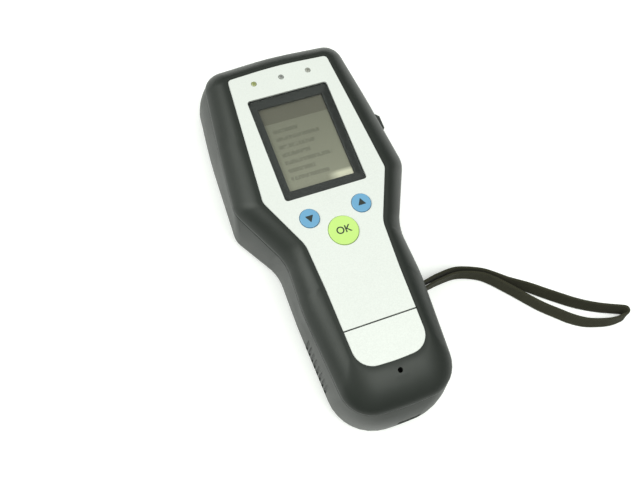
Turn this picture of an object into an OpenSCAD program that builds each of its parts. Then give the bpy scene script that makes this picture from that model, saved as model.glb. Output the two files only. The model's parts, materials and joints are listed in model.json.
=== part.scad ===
// Hand-held breath tester, lying on its back: +Z out of the front plate, +Y towards the head.
// The origin is on the flat of the back, below the middle of the body.

/* [Body] */
// Length from the tail to the top of the head
body_length = 181; // [176:1:190]
// Width of the head at its widest
head_width = 82; // [78:1:88]
// Width of the head at its top
top_width = 67; // [60:1:72]
// Width of the narrow waist
waist_width = 54.6; // [53:0.2:58]
// Width of the handle
handle_width = 57; // [56:0.5:62]
// Width of the tail
tail_width = 49.6; // [48:0.2:52]
// Thickness from the back to the front rim
body_depth = 38; // [37:0.5:42]
// Height of the seam between the two shells
seam_height = 27.5; // [26:0.1:28]
// Height of the seam gap
seam_gap = 0.6; // [0.3:0.1:1]
// How far the rear shell swells past the seam at the top of the head
head_swell = 2.6; // [0:0.1:3]
// How far the rear shell swells past the seam at the tail
tail_swell = 4.1; // [2:0.1:6]
// Height at which the rear shell is widest
swell_height = 12; // [10:0.5:15]
// Roundness of the sloped shoulder, 1 is flat
shoulder_round = 1.45; // [1:0.05:2]
// Fullness of the shoulder's outer edge, 1 is plain
shoulder_edge = 0.7; // [0.6:0.05:1]
// Radius of the back edge
back_radius = 7; // [5:0.5:8]
// Wall of the shells
wall = 2.4; // [2:0.1:3]
// Floor of the rear shell in the head
floor_wall = 2.4; // [2:0.1:3]

/* [Front plate] */
// Width of the plate at its top
plate_top_width = 49.2; // [46:0.2:52]
// Width of the plate at its widest
plate_head_width = 59; // [56:0.5:62]
// Width of the plate at the waist
plate_waist_width = 37; // [36:0.2:39]
// Width of the plate at its tail
plate_tail_width = 33.2; // [32:0.2:35]
// Distance of the top edge of the plate from the top
plate_top_gap = 9.5; // [8.5:0.1:10.5]
// Distance of the tail edge of the plate from the tail
plate_tail_gap = 22.9; // [21.5:0.2:24.5]
// Thickness of the plate
plate_thick = 1.2; // [0.8:0.1:1.5]
// Depth of the plate below the rim
plate_sink = 0.3; // [0.1:0.1:0.6]
// Length of the tile below the dividing line
tail_tile = 18.5; // [14:0.5:24]
// Width of the dividing line
divide_gap = 0.6; // [0.3:0.1:1]
// Width of the rim round the plate
rim_width = 0.9; // [0.6:0.1:1.5]
// Thickness of the shell below the plate
deck = 1.3; // [1:0.1:1.6]

/* [Display] */
// Width of the display window
window_width = 39; // [36:0.5:41]
// Length of the display window
window_length = 52; // [48:0.5:54]
// Height of the middle of the display window
window_y = 40.5; // [39:0.5:42]
// Thickness of the display window
window_thick = 1.4; // [1:0.1:1.6]
// Width of the clear part of the display
screen_width = 31.6; // [28:0.2:33]
// Length of the clear part of the display
screen_length = 43; // [40:0.2:44]
// Thickness of the display
screen_thick = 2.7; // [2:0.1:2.8]
// Width of the display's own frame
screen_frame = 2.4; // [1.5:0.1:2.6]

/* [Keys and lights] */
// Diameter of the two arrow keys
arrow_key_d = 8.9; // [8:0.1:11]
// Diameter of the OK key
ok_key_d = 13.7; // [12:0.1:16]
// Distance of an arrow key from the middle
arrow_key_x = 12.4; // [12:0.1:14]
// Height of the arrow keys
arrow_key_y = 3.7; // [3:0.1:5]
// Height of the OK key
ok_key_y = -6.1; // [-8:0.1:-5]
// Height of the keys above the plate
key_proud = 0.6; // [0.2:0.1:1.2]
// Diameter of the status lights
light_d = 2.3; // [2:0.1:3]
// Distance between the status lights
light_pitch = 13.4; // [10:0.1:15]
// Distance of the status lights from the top edge of the plate
light_gap = 6.4; // [5.5:0.1:7.5]
// Diameter of the sounder hole
sound_hole_d = 2.3; // [1.5:0.1:3]
// Distance of the sounder hole from the tail
sound_hole_gap = 18.5; // [17:0.5:20]

/* [Grip] */
// Count of the scallops on each side of the handle
grip_count = 8; // [4:1:9]
// Distance between the scallops
grip_pitch = 3; // [2.4:0.1:3.2]
// Depth of the scallops
grip_depth = 0.8; // [0.3:0.05:0.9]
// Distance of the lowest scallop from the tail
grip_gap = 25; // [24:0.5:27]

/* [Battery] */
// Diameter of a battery cell
cell_d = 14.2; // [13.5:0.1:14.5]
// Length of a battery cell
cell_length = 50; // [48:0.5:50.5]
// Distance of the battery bay from the tail
bay_gap = 17.1; // [16.7:0.2:18.5]
// Thickness of the battery door
door_thick = 2; // [1.6:0.1:2.4]
// Width of the tongues on the door's sides
door_tongue = 1.2; // [0.8:0.1:1.4]

/* [Tail socket] */
// Width of the socket in the tail
socket_width = 11; // [9:0.5:12]
// Height of the socket
socket_height = 5; // [4:0.2:5.2]
// Distance of the socket from the middle
socket_x = 2.5; // [0:0.5:4]

/* [Mouthpiece] */
// Radius of the mouthpiece channel
channel_r = 9; // [8:0.5:9.5]
// Distance of the mouthpiece channel from the top
channel_gap = 16.5; // [15.5:0.5:18.5]
// Depth of the mouthpiece channel
channel_depth = 7.5; // [6:0.5:8]
// Radius of the bore in the breath port
port_r = 2.5; // [2:0.1:2.8]
// Height of the mouthpiece catch on the side of the head
catch_y = 46; // [42:0.5:48]
// How far the catch stands out of the side
catch_proud = 3; // [2.5:0.1:4]

/* [Strap] */
// Width of the strap
strap_width = 7; // [5:0.1:8]
// Thickness of the strap
strap_thick = 1.2; // [0.8:0.1:1.4]
// Height of the strap pin along the handle
strap_y = -37; // [-39:0.5:-36]
// Radius of the strap pin
strap_pin_r = 1; // [0.8:0.05:1]

/* [Fits] */
// Gap round the plate, the window and the lights
fit_gap = 0.15; // [0.1:0.05:0.25]
// Gap round what moves
slide_gap = 0.25; // [0.2:0.05:0.3]
// Radius of the shank of the case screws
screw_r = 1.2; // [1:0.05:1.4]

/* [Hidden] */
$fn = 48;
tiny = 0.02;
far = 300;

// Levels of the stack, from the front rim down.
plate_face = body_depth - plate_sink;
plate_back = plate_face - plate_thick;
deck_back = plate_back - deck;
mask_thick = 0.3;
window_face = plate_face - 0.2;
window_back = window_face - window_thick;
mask_back = window_back - mask_thick;
screen_face = deck_back - 0.1;
board_thick = 1.6;
board_face = screen_face - screen_thick - 0.1;
board_back = board_face - board_thick;
front_foot = seam_height + seam_gap / 2;
rear_top = seam_height - seam_gap / 2;

// Corners of half an outline as [x, y, radius], from the middle of the tail up to the middle of the top.
top_y = body_length / 2;
tail_y = -body_length / 2;
plate_tail = tail_y + plate_tail_gap;
divide_y = plate_tail + tail_tile;
sound_hole_y = tail_y + sound_hole_gap;
plate_top = top_y - plate_top_gap;
light_y = plate_top - light_gap;
channel_y = top_y - channel_gap;
top_bow = 1.9;
tail_bow = 1.3;
wide_y = 19.5;
waist_y = -10;
handle_y = -33;
shoulder_y = 56;
side_bow = 0.5;
seam_half = [
  [0, tail_y + tail_swell, 150],
  [tail_width / 2 + 0.5, tail_y + tail_swell + tail_bow, 15],
  [handle_width / 2, handle_y, 100],
  [waist_width / 2, waist_y, 25],
  [head_width / 2 + side_bow, wide_y, 12],
  [(head_width + top_width) / 4 + side_bow, shoulder_y, 300],
  [top_width / 2, top_y - top_bow, 9],
  [0, top_y, 200]
];
swell_half = [
  [0, tail_y, 150],
  [tail_width / 2 + 2, tail_y + tail_bow, 21],
  [handle_width / 2, handle_y, 100],
  [waist_width / 2 + 1, waist_y + 2.5, 20],
  [head_width / 2 + side_bow, wide_y - 5, 10],
  [(head_width + top_width) / 4 + head_swell, shoulder_y, 300],
  [top_width / 2 + head_swell, top_y - top_bow, 9],
  [0, top_y, 200]
];
tail_corner = swell_half[1];
function handle_side(y) =
  mix(tail_corner.x, handle_width / 2, (y - tail_corner.y) / (handle_y - tail_corner.y));
plate_half = [
  [0, plate_tail, 100],
  [plate_tail_width / 2, plate_tail + 0.8, 9],
  [plate_tail_width / 2 + 0.8, handle_y + 4, 100],
  [plate_waist_width / 2, waist_y + 2.6, 14],
  [plate_head_width / 2, wide_y - 2.5, 5],
  [(plate_head_width + plate_top_width) / 4 + 0.2, shoulder_y - 9, 300],
  [plate_top_width / 2, plate_top - 1.4, 2],
  [0, plate_top, 200]
];

function both_sides(half) =
  concat(half, [for (i = [len(half) - 2:-1:1]) [-half[i].x, half[i].y, half[i].z]]);
function flat(p) = [p.x, p.y];
function unit(v) = v / norm(v);
function outward(a, b) = let (along = unit(b - a)) [along.y, -along.x];
function mix(a, b, share) = a + (b - a) * share;

// One rounded corner of an outline, as points on an arc, moved in by inset.
arc_steps = 8;
function corner_arc(before, corner, after, inset) =
  let (
    n1 = outward(flat(before), flat(corner)),
    n2 = outward(flat(corner), flat(after)),
    turn = atan2(cross(n1, n2), n1 * n2),
    radius = turn < 0 ? -corner.z : corner.z,
    centre = flat(corner) - radius * (n1 + n2) / (1 + n1 * n2),
    reach = radius < 0 ? radius - inset : max(radius - inset, 0.2)
  )
  [for (k = [0:arc_steps])
    centre + reach * [cos(atan2(n1.y, n1.x) + turn * k / arc_steps),
                      sin(atan2(n1.y, n1.x) + turn * k / arc_steps)]];
function ring(half, inset = 0) =
  let (c = both_sides(half), n = len(c))
  [for (i = [0:n - 1]) each corner_arc(c[(i + n - 1) % n], c[i], c[(i + 1) % n], inset)];
function mix_rings(a, b, share) = [for (i = [0:len(a) - 1]) mix(a[i], b[i], share)];
function lift(points, z) = [for (p = points) [p.x, p.y, z]];

// Faces that close one ring: a fan for a small section, or strips between the two halves of an outline.
function mirrored(i, n) = (arc_steps - i + n) % n;
function strip(i, n) =
  let (a = mirrored(i, n), b = mirrored(i + 1, n))
  a == i ? [i, i + 1, b] : b == i + 1 ? [i, i + 1, a] : [i, i + 1, b, a];
function closing(n, strips) =
  strips ? [for (k = [0:n / 2 - 1]) strip(arc_steps / 2 + k, n)] : [[for (i = [0:n - 1]) i]];
function backwards(face) = [for (i = [len(face) - 1:-1:0]) face[i]];

// A closed solid through a stack of rings that have equal counts of points.
module loft(rings, strips = false) {
  n = len(rings[0]);
  top = len(rings) - 1;
  sides = [for (k = [0:top - 1], i = [0:n - 1])
    let (a = k * n + i, b = k * n + (i + 1) % n) each [[a, a + n, b + n], [a, b + n, b]]];
  foot = closing(n, strips);
  head = [for (f = foot) backwards([for (i = f) top * n + i])];
  polyhedron([for (r = rings) each r], concat(sides, foot, head));
}

module prism(points, z0, z1) {
  translate([0, 0, z0])
    linear_extrude(z1 - z0)
      polygon(points);
}

module block(x0, x1, y0, y1, z0, z1) {
  translate([x0, y0, z0])
    cube([x1 - x0, y1 - y0, z1 - z0]);
}

module disc(x, y, r, z0, z1) {
  translate([x, y, z0])
    cylinder(r = r, h = z1 - z0);
}

// A round bar along X between two places.
module bar_x(y, z, r, x0, x1) {
  translate([x0, y, z])
    rotate([0, 90, 0])
      cylinder(r = r, h = x1 - x0);
}

// A block with rounded upright corners.
module rounded_block(width, length, radius, z0, z1) {
  corners = [[-width / 2, -length / 2, radius], [width / 2, -length / 2, radius],
             [width / 2, length / 2, radius], [-width / 2, length / 2, radius]];
  prism([for (i = [0:3]) each corner_arc(corners[(i + 3) % 4], corners[i], corners[(i + 1) % 4], 0)], z0, z1);
}

// A tube or band swept along points, its section given across and along the width direction of each point.
function sweep_ring(path, widths, section, i) =
  let (
    last = len(path) - 1,
    along = unit(path[min(i + 1, last)] - path[max(i - 1, 0)]),
    side = unit(cross(widths[i], along)),
    up = cross(along, side)
  )
  [for (s = section) path[i] + s.x * side + s.y * up];
module sweep(path, widths, section) {
  loft([for (i = [0:len(path) - 1]) sweep_ring(path, widths, section, i)]);
}
function round_section(r, sides) = [for (k = [0:sides - 1]) r * [cos(360 * k / sides), sin(360 * k / sides)]];
function bezier(p, t) =
  pow(1 - t, 3) * p[0] + 3 * t * pow(1 - t, 2) * p[1] + 3 * t * t * (1 - t) * p[2] + pow(t, 3) * p[3];

// A coil spring along Z, wound from a wire.
module coil(radius, wire_r, length, turns) {
  steps = 10;
  path = [for (k = [0:turns * steps])
    [radius * cos(360 * k / steps), radius * sin(360 * k / steps),
     wire_r + (length - 2 * wire_r) * k / (turns * steps)]];
  sweep(path, [for (p = path) [p.x, p.y, 0]], round_section(wire_r, 6));
}

seam_ring = ring(seam_half);
rim_ring = ring(plate_half, -rim_width);
swell_ring = ring(swell_half);

// The shoulder climbs from the seam to the rim round the plate.
crease_z = front_foot + 0.8;
shoulder_shares = [0, 0.02, 0.05, 0.1, 0.17, 0.26, 0.38, 0.52, 0.68, 0.85, 1];
function shoulder_height(share) =
  mix(crease_z, body_depth, pow(1 - pow(1 - share, shoulder_round), shoulder_edge));
front_rings = concat(
  [lift(seam_ring, front_foot)],
  [for (s = shoulder_shares) lift(mix_rings(seam_ring, rim_ring, s), shoulder_height(s))]
);

// The rear shell swells from the seam in a rounded wall, then rounds into the flat of the back.
back_steps = 5;
wall_steps = 5;
function swell_share(z) = 1 - pow((z - swell_height) / (rear_top - swell_height), 2);
rear_rings = concat(
  [for (k = [0:back_steps]) let (a = 90 * (1 - k / back_steps))
    lift(ring(swell_half, back_radius * (1 - cos(a))), back_radius * (1 - sin(a)))],
  [for (k = [0:wall_steps]) let (z = mix(swell_height, rear_top, k / wall_steps))
    lift(mix_rings(seam_ring, swell_ring, swell_share(z)), z)]
);

// Places of the screws.
top_inset = 6.25;
wide_inset = 7.5;
tail_inset = 4.2;
tail_screw_gap = 29;
top_screw = [(head_width + top_width) / 4 - top_inset, shoulder_y + 2];
wide_screw = [head_width / 2 - wide_inset, wide_y + 2.5];
tail_screw = [tail_width / 2 - tail_inset, tail_y + tail_screw_gap];
case_screws_at = [for (side = [-1, 1], p = [top_screw, wide_screw, tail_screw]) [side * p.x, p.y]];
case_head_r = 2.3;
case_head_z = 0.6;
case_head_h = 1.8;
case_tip_z = seam_height + 4.5;
boss_r = 3;
boss_top = rear_top - 0.4;
board_screw_x = plate_tail_width / 2 - 4;
board_screw_gap = 9.6;
board_screw_y = [waist_y - 3, plate_tail + board_screw_gap];
board_screws_at = [for (side = [-1, 1], y = board_screw_y) [side * board_screw_x, y]];
board_screw_r = 0.9;
board_boss_r = 2.2;

// Battery bay and door.
bay_half = cell_d + 0.6;
bay_length = cell_length + 6.4;
bay_tail = tail_y + bay_gap;
bay_top = bay_tail + bay_length;
tray_wall = 1.2;
tray_foot = door_thick + 2.6;
cell_z = door_thick + 0.3 + cell_d / 2;
tray_ceiling = cell_z + cell_d / 2 + 0.3;
door_half = bay_half + 0.4;
door_top = bay_top + 2.4;
lip = 0.9;

// Mouthpiece channel and catch.
channel_z = channel_depth - channel_r;
tube_room = 14.7;
port_top = board_back - tube_room;
port_wall = 1.2;
port_flange = 1.2;
crown_wall = 2.2;
port_foot = channel_depth + crown_wall + port_flange;
catch_z = 18;
catch_length = 10;
catch_height = 7;
catch_flange = 2.2;
head_side = mix(head_width / 2, (head_width + top_width) / 4, (catch_y - wide_y) / (shoulder_y - wide_y));
catch_side = head_side + head_swell * swell_share(catch_z);
catch_inner = catch_side - 4;
catch_rib_x = catch_inner - 10.4;
catch_rib = 1.6;
catch_rib_half = catch_length / 2 + 2;
catch_flange_half = catch_length / 2 + 2;
catch_flange_high = catch_height / 2 + 1.5;

// Socket in the tail.
socket_z = 12.4;
socket_face = tail_y + 1.2;
socket_flange = 1.2;
socket_seat = tail_y + tail_swell + wall + 0.1;
socket_back = socket_seat + 0.1 + socket_flange;
socket_rim = 1.1;
socket_pocket = socket_rim + 0.1;
socket_skin = 0.7;
socket_deep = 4.5;
socket_tongue = 2;

// Strap anchor in the right side of the handle.
anchor_z = 11;
anchor_x = handle_width / 2 - 4.3;
anchor_half = 5;
anchor_wall = 1.8;
anchor_back = anchor_x - strap_pin_r - strap_thick - 0.4;
anchor_low = anchor_z - strap_width / 2 - 0.7;
anchor_high = anchor_z + strap_width / 2 + 0.7;
anchor_floor = 4.6;

// The strap's route as [x, y, z, lean]: round the pin, out along the upper leg, back along the lower leg.
strap_route = [
  [22.55, -36.7, 11, 0], [23, -35.8, 11, 0], [24.2, -35.3, 11, 0], [27, -35.3, 11, 0],
  [31, -34.6, 10.4, 0.05], [36, -33.4, 8.8, 0.1], [43, -32, 6.4, 0.18], [52, -31.3, 4.4, 0.22],
  [59, -33, 3.7, 0.22], [66, -36.3, 3.7, 0.25], [71, -40.1, 3.7, 0.28], [75.5, -43.9, 3.7, 0.3],
  [79, -46.3, 3.7, 0.3], [85, -50.5, 3.6, 0.35], [91, -55.3, 3.6, 0.38], [97, -60, 3.6, 0.4],
  [103, -64.5, 3.6, 0.4], [109, -68.3, 3.6, 0.4], [115.5, -71.7, 3.6, 0.4], [122, -74.5, 3.6, 0.4],
  [125.4, -76, 3.6, 0.4], [126.4, -77.2, 3.6, 0.4], [126, -78.6, 3.6, 0.4], [124, -79.5, 3.6, 0.4],
  [118, -79.6, 3.6, 0.4], [112, -78.3, 3.6, 0.4], [105, -75.8, 3.6, 0.4], [98.8, -71.9, 3.6, 0.4],
  [93.2, -67, 3.6, 0.38], [87.4, -61.7, 3.6, 0.35], [82.3, -56.1, 3.6, 0.32], [77.2, -50.2, 3.7, 0.3],
  [73.7, -46.3, 3.7, 0.3], [69.6, -41.9, 3.7, 0.28], [65, -38.1, 3.7, 0.25], [58.5, -35.1, 3.7, 0.22],
  [52, -33.8, 4.4, 0.22], [43.3, -34.6, 6.4, 0.18], [36.4, -36, 8.8, 0.1], [31, -37.4, 10.4, 0.05],
  [27, -38.7, 11, 0], [24.2, -38.7, 11, 0], [23, -38.2, 11, 0], [22.55, -37.3, 11, 0]
];
strap_lean = [0.65, 0.75];

module front_shell() {
  color([0.2, 0.21, 0.22])
    difference() {
      union() {
        difference() {
          loft(front_rings, strips = true);
          prism(ring(plate_half, 0.8), front_foot - 1, deck_back);
          prism(ring(seam_half, wall + 0.8), front_foot - 1, front_foot + 2.2);
        }
        for (p = board_screws_at)
          disc(p.x, p.y, board_boss_r, board_face, deck_back + tiny);
      }
      prism(ring(plate_half, -fit_gap), plate_back, far);
      translate([0, window_y, 0])
        rounded_block(window_width + 2 * fit_gap, window_length + 2 * fit_gap, 1.5, mask_back, far);
      translate([0, window_y, 0])
        rounded_block(screen_width + 3, screen_length + 3, 1, deck_back - 1, far);
      for (side = [-1, 1])
        disc(side * arrow_key_x, arrow_key_y, arrow_key_d / 2 + 1.1, deck_back - 1, far);
      disc(0, ok_key_y, ok_key_d / 2 + 1.1, deck_back - 1, far);
      for (k = [-1:1])
        disc(k * light_pitch, light_y, light_d / 2 + fit_gap, deck_back - 1, far);
      disc(0, sound_hole_y, sound_hole_d / 2, front_foot - 1, far);
      disc(0, sound_hole_y, 6.3, front_foot - 1, front_foot + 5.7);
      for (p = case_screws_at)
        disc(p.x, p.y, screw_r + 0.05, front_foot - 1, case_tip_z + 0.4);
      for (p = board_screws_at)
        disc(p.x, p.y, board_screw_r + 0.05, board_face - 1, deck_back - 0.4);
    }
}

// Section of the door with its side tongues, drawn out past the tail. Its slot has a gap all round.
module door_runner(gap, top) {
  edge = door_half + gap;
  outer = edge + door_tongue;
  step = lip + slide_gap - gap;
  face = door_thick + gap;
  translate([0, top, 0])
    rotate([90, 0, 0])
      linear_extrude(top - tail_y + 20)
        polygon([[-edge, -1], [edge, -1], [edge, step], [outer, step], [outer, face], [-outer, face],
                 [-outer, step], [-edge, step]]);
}

module rear_outside() {
  loft(rear_rings, strips = true);
}

// The hollow of the rear shell, less what stands in it: channel wall, screw bosses, strap anchor and rib.
module rear_hollow() {
  step_y = bay_top + tray_wall + 3;
  difference() {
    union() {
      prism(ring(seam_half, wall), back_radius + 1, rear_top + 1);
      intersection() {
        prism(ring(seam_half, back_radius), floor_wall, back_radius + 2);
        block(-far, far, step_y, far, 0, far);
      }
      intersection() {
        prism(ring(seam_half, back_radius), tray_foot, back_radius + 2);
        block(-far, far, -far, step_y + 1, 0, far);
      }
    }
    bar_x(channel_y, channel_z, channel_r + crown_wall, -far, far);
    for (p = case_screws_at)
      disc(p.x, p.y, boss_r, 0, boss_top);
    block(anchor_back - anchor_wall, far, strap_y - anchor_half - anchor_wall,
          strap_y + anchor_half + anchor_wall, 0, anchor_high + anchor_wall);
    block(catch_rib_x, catch_rib_x + catch_rib, catch_y - catch_rib_half, catch_y + catch_rib_half,
          0, catch_z + 5);
  }
}

// Upright scallops in the sides of the handle, for the fingers.
grip_r = 1;
grip_low = 5;
grip_high = 18;
module grip_scallops() {
  for (side = [-1, 1], k = [0:grip_count - 1])
    let (y = tail_y + grip_gap + grip_pitch * k)
      disc(side * (handle_side(y) - grip_depth + grip_r), y, grip_r, grip_low, grip_high);
}

module rear_shell() {
  color([0.16, 0.17, 0.18])
    difference() {
      rear_outside();
      rear_hollow();
      bar_x(channel_y, channel_z, channel_r, -far, far);
      disc(0, channel_y, port_r + port_wall + fit_gap, 1, channel_depth + crown_wall + 1);
      for (p = case_screws_at) {
        disc(p.x, p.y, screw_r + 0.2, -1, rear_top + 1);
        disc(p.x, p.y, case_head_r + 0.25, -1, case_head_z + case_head_h);
      }
      door_runner(slide_gap, door_top + slide_gap);
      block(-bay_half, bay_half, bay_tail, bay_top, -1, tray_foot + 1);
      block(anchor_back, far, strap_y - anchor_half, strap_y + anchor_half, anchor_low, anchor_high);
      disc(anchor_x, strap_y, strap_pin_r + 0.02, anchor_floor, anchor_high + anchor_wall + 1);
      grip_scallops();
      block(socket_x - socket_width / 2, socket_x + socket_width / 2, tail_y - 1, socket_back,
            socket_z - socket_height / 2, socket_z + socket_height / 2);
      block(socket_x - socket_width / 2 - socket_pocket, socket_x + socket_width / 2 + socket_pocket,
            socket_seat, socket_back + 1, socket_z - socket_height / 2 - socket_pocket,
            socket_z + socket_height / 2 + socket_pocket);
      block(catch_inner - 1, far, catch_y - catch_length / 2 - slide_gap,
            catch_y + catch_length / 2 + slide_gap, catch_z - catch_height / 2 - slide_gap,
            catch_z + catch_height / 2 + slide_gap);
      block(catch_rib_x + catch_rib, catch_inner, catch_y - catch_flange_half - slide_gap,
            catch_y + catch_flange_half + slide_gap, catch_z - catch_flange_high - slide_gap,
            catch_z + catch_flange_high + slide_gap);
    }
}

module shell_gasket() {
  color([0.06, 0.06, 0.06])
    difference() {
      prism(ring(seam_half, 0.5), rear_top, front_foot);
      prism(ring(seam_half, wall - 0.2), rear_top - 1, front_foot + 1);
    }
}

// The plate with its openings, before it is parted at the dividing line.
module plate() {
  difference() {
    prism(ring(plate_half), plate_back, plate_face);
    translate([0, window_y, 0])
      rounded_block(window_width + 2 * fit_gap, window_length + 2 * fit_gap, 1.5, plate_back - 1, far);
    for (side = [-1, 1])
      disc(side * arrow_key_x, arrow_key_y, arrow_key_d / 2 + fit_gap, plate_back - 1, far);
    disc(0, ok_key_y, ok_key_d / 2 + fit_gap, plate_back - 1, far);
    for (k = [-1:1])
      disc(k * light_pitch, light_y, light_d / 2 + fit_gap, plate_back - 1, far);
  }
}

module front_panel() {
  color([0.84, 0.85, 0.86])
    intersection() {
      plate();
      block(-far, far, divide_y + divide_gap / 2, far, 0, far);
    }
}

module tail_panel() {
  color([0.88, 0.89, 0.9])
    intersection() {
      plate();
      block(-far, far, -far, divide_y - divide_gap / 2, 0, far);
    }
}

module display_window() {
  color([0.5, 0.55, 0.6, 0.4])
    translate([0, window_y, 0])
      rounded_block(window_width, window_length, 1.4, window_back, window_face);
}

module display_mask() {
  color([0.03, 0.03, 0.03])
    translate([0, window_y, 0])
      difference() {
        rounded_block(window_width, window_length, 1.4, mask_back, window_back);
        rounded_block(screen_width, screen_length, 0.6, mask_back - 1, window_back + 1);
      }
}

module lcd_module() {
  color([0.42, 0.44, 0.38])
    translate([0, window_y, 0])
      difference() {
        rounded_block(screen_width + 2 * screen_frame, screen_length + 2 * screen_frame, 0.8,
                      screen_face - screen_thick, screen_face);
        rounded_block(screen_width, screen_length, 0.4, screen_face - 0.3, far);
      }
}

lamp_top = board_face + 1.1;
light_foot = 0.8;
module light_pipe(k) {
  translate([k * light_pitch, light_y, 0])
    rotate_extrude()
      polygon([[0, lamp_top + 0.1], [light_d / 2 + light_foot, lamp_top + 0.1],
               [light_d / 2 + light_foot, deck_back - 0.2], [light_d / 2, deck_back - 0.2],
               [light_d / 2, plate_face], [light_d / 2 - 0.3, plate_face + 0.2], [0, plate_face + 0.25]]);
}

module light_pipe_left() {
  color([0.75, 0.8, 0.45])
    light_pipe(-1);
}

module light_pipe_middle() {
  color([0.7, 0.7, 0.68])
    light_pipe(0);
}

module light_pipe_right() {
  color([0.7, 0.7, 0.68])
    light_pipe(1);
}

// A round key with a softened top edge and a flange that keeps it behind the plate.
key_flange = 0.8;
key_flange_top = plate_back - 0.3;
key_foot = key_flange_top - 0.8;
key_top = plate_face + key_proud;
module key_cap(d, x, y) {
  translate([x, y, 0])
    rotate_extrude()
      polygon([[0, key_foot], [d / 2 + key_flange, key_foot], [d / 2 + key_flange, key_flange_top],
               [d / 2, key_flange_top], [d / 2, key_top - 0.4], [d / 2 - 0.12, key_top - 0.12],
               [d / 2 - 0.4, key_top], [0, key_top]]);
}

module key_down() {
  color([0.38, 0.64, 0.9])
    key_cap(arrow_key_d, -arrow_key_x, arrow_key_y);
}

module key_up() {
  color([0.38, 0.64, 0.9])
    key_cap(arrow_key_d, arrow_key_x, arrow_key_y);
}

module key_ok() {
  color([0.7, 0.88, 0.36])
    key_cap(ok_key_d, 0, ok_key_y);
}

// A hollow bell that stands on the board and pushes its key back up.
bell_wall = 0.7;
module key_dome(d, x, y) {
  dome_top = key_foot - 0.1;
  foot_r = d / 2 - 0.6;
  top_r = d / 2 - 2;
  color([0.75, 0.75, 0.72])
    translate([x, y, 0])
      rotate_extrude()
        polygon([[0, dome_top], [top_r, dome_top], [foot_r - 0.6, board_face + 0.7],
                 [foot_r, board_face + 0.6], [foot_r, board_face], [foot_r - 1.4, board_face],
                 [top_r - bell_wall, dome_top - bell_wall], [0, dome_top - bell_wall]]);
}

module key_dome_down() {
  key_dome(arrow_key_d, -arrow_key_x, arrow_key_y);
}

module key_dome_up() {
  key_dome(arrow_key_d, arrow_key_x, arrow_key_y);
}

module key_dome_ok() {
  key_dome(ok_key_d, 0, ok_key_y);
}

module main_board() {
  color([0.1, 0.35, 0.2])
    difference() {
      prism(ring(plate_half, 1.8), board_back, board_face);
      for (p = board_screws_at)
        disc(p.x, p.y, board_screw_r + 0.2, board_back - 1, board_face + 1);
    }
}

module status_lamps() {
  color([0.95, 0.92, 0.7])
    for (k = [-1:1])
      translate([k * light_pitch, light_y, 0])
        rounded_block(2.8, 3.5, 0.3, board_face, lamp_top);
}

board_head_r = 1.8;
board_head_h = 1.2;
board_screw_reach = 4;
module board_screws() {
  color([0.75, 0.75, 0.78])
    for (p = board_screws_at)
      translate([p.x, p.y, board_back])
        rotate_extrude()
          polygon([[0, -board_head_h], [board_head_r - 0.3, -board_head_h],
                   [board_head_r, 0.4 - board_head_h], [board_head_r, 0], [board_screw_r, 0],
                   [board_screw_r, board_screw_reach - 0.4], [0, board_screw_reach]]);
}

sounder_r = 6.1;
sounder_foot = front_foot + 0.9;
sounder_top = front_foot + 5.5;
module sounder() {
  color([0.12, 0.12, 0.13])
    translate([0, sound_hole_y, 0])
      difference() {
        disc(0, 0, sounder_r, sounder_foot, sounder_top);
        disc(0, 0, sound_hole_d / 2, sounder_top - 1.5, sounder_top + 1);
      }
}

// Socket in the tail: a plug with a cavity and a contact tongue, kept in by a flange behind the wall.
module data_socket() {
  half = socket_width / 2 - fit_gap;
  high = socket_height / 2 - fit_gap;
  color([0.1, 0.1, 0.11])
    union() {
      difference() {
        union() {
          block(socket_x - half, socket_x + half, socket_face, socket_back, socket_z - high, socket_z + high);
          block(socket_x - half - socket_rim, socket_x + half + socket_rim, socket_back - socket_flange,
                socket_back, socket_z - high - socket_rim, socket_z + high + socket_rim);
        }
        block(socket_x - half + socket_skin, socket_x + half - socket_skin, socket_face - 1,
              socket_face + socket_deep, socket_z - high + socket_skin, socket_z + high - socket_skin);
      }
      block(socket_x - half + socket_tongue, socket_x + half - socket_tongue, socket_face + 1,
            socket_face + socket_deep + 1, socket_z - 0.5, socket_z + 0.5);
    }
}

// Electrochemical sensor: a lidded can with two nozzles on its top.
sensor_r = 12.5;
sensor_at = [catch_rib_x - sensor_r - 0.5, catch_y];
sensor_top = port_top - 3;
nozzle_r = 1.6;
inlet_r = port_r + port_wall - 0.3;
inlet_at = [sensor_at.x - 5, sensor_at.y + 4];
outlet_at = [sensor_at.x - 5, sensor_at.y - 4];
nozzle_top = sensor_top + 4;
module sensor_module() {
  color([0.82, 0.82, 0.8])
    union() {
      disc(sensor_at.x, sensor_at.y, sensor_r, floor_wall, sensor_top - 2);
      disc(sensor_at.x, sensor_at.y, sensor_r - 1.2, floor_wall + 1, sensor_top);
      disc(inlet_at.x, inlet_at.y, inlet_r, sensor_top - 1, nozzle_top);
      disc(outlet_at.x, outlet_at.y, nozzle_r, sensor_top - 1, nozzle_top);
    }
}

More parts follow.
